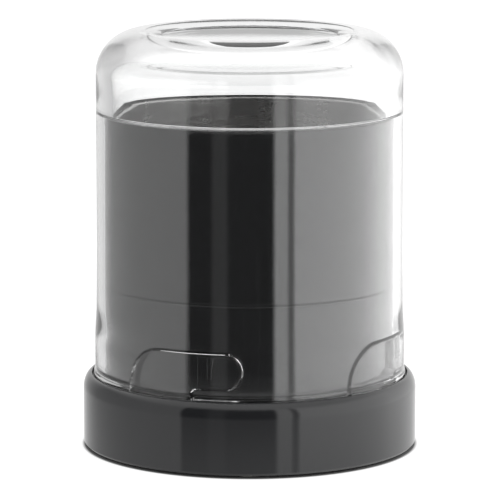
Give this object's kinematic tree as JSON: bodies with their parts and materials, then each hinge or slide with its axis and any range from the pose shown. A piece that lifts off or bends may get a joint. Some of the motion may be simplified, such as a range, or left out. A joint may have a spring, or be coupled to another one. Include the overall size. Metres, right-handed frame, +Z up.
{
  "type": "blade grinder",
  "caption": "Compact upright electric grinder: dark gloss cylinder on a wider round base, steel cup with a spinning blade on top, and a clear domed cover that twists to lock.",
  "frame": {"origin": "centre of the circle that the base stands on, at table height", "axes": "+Z up along the axis of the body and blade, -Y towards the front, where a bayonet pocket shows, +X to the right, and the cord inlet on +Y"},
  "size_m": [0.1, 0.1, 0.1249],
  "materials": {
    "dark_gloss": "polished, near black",
    "base_plastic": "fine moulded texture",
    "clear_cover": "clear, polished",
    "cup_steel": "spun, fine rings",
    "blade_steel": "ground and polished",
    "screw_steel": "zinc plated",
    "shaft_steel": "ground",
    "core_steel": "stacked sheet, varnished",
    "copper": "enamelled wire",
    "bronze": "sintered",
    "brass": "pressed",
    "carbon": "matte, black",
    "bracket_metal": "die cast",
    "rubber": "soft, matte",
    "silicone": "soft, matte",
    "switch_plastic": "moulded",
    "button_red": "moulded",
    "natural_nylon": "moulded",
    "capacitor_yellow": "moulded",
    "fuse_body": "drawn can",
    "wire_blue": "insulation"
  },
  "bodies": {
    "root": {"base_housing": "dark_gloss", "cup_housing": "dark_gloss", "motor_carrier": "base_plastic", "bottom_plate": "base_plastic", "rubber_feet": "rubber", "plate_screws": "screw_steel", "body_screws": "screw_steel", "cord_inlet_bush": "rubber", "cord_clamp": "natural_nylon", "clamp_screws": "screw_steel", "switch_case": "switch_plastic", "grinding_cup": "cup_steel", "shaft_seal": "silicone", "upper_bearing": "bronze", "lower_bearing": "bronze", "stator_core": "core_steel", "field_coils": "copper", "upper_bracket": "bracket_metal", "lower_bracket": "bracket_metal", "through_bolts": "screw_steel", "brush_holders": "brass", "carbon_brushes": "carbon", "brush_springs": "screw_steel", "rubber_mounts": "rubber", "mount_screws": "screw_steel", "terminal_block": "natural_nylon", "noise_capacitor": "capacitor_yellow", "thermal_fuse": "fuse_body", "lead_wires": "wire_blue"},
    "rotor": {"blade": "blade_steel", "blade_hub": "switch_plastic", "blade_nut": "blade_steel", "drive_shaft": "shaft_steel", "rotor_core": "core_steel", "rotor_windings": "copper", "commutator": "copper", "cooling_fan": "natural_nylon"},
    "start_ring": {"start_ring": "base_plastic"},
    "cover": {"clear_cover": "clear_cover"},
    "start_plunger": {"start_plunger": "button_red", "switch_button": "button_red"}
  },
  "joints": [
    {"name": "blade_spin", "type": "hinge", "parent": "root", "child": "rotor", "pos_m": [0, 0, 0], "axis": [0, 0, 1], "continuous": true},
    {"name": "cover_turn", "type": "hinge", "parent": "root", "child": "start_ring", "pos_m": [0, 0, 0], "axis": [0, 0, 1], "range_deg": [0, 19]},
    {"name": "cover_lift", "type": "slide", "parent": "start_ring", "child": "cover", "axis": [0, 0, 1], "range_m": [0, 0.11]},
    {"name": "plunger_slide", "type": "slide", "parent": "root", "child": "start_plunger", "axis": [0, 0, 1], "range_m": [0, 0.0017]}
  ],
  "couplings": [
    {"joint": "plunger_slide", "follows": "cover_turn", "m_per_rad": 0.0048249}
  ]
}
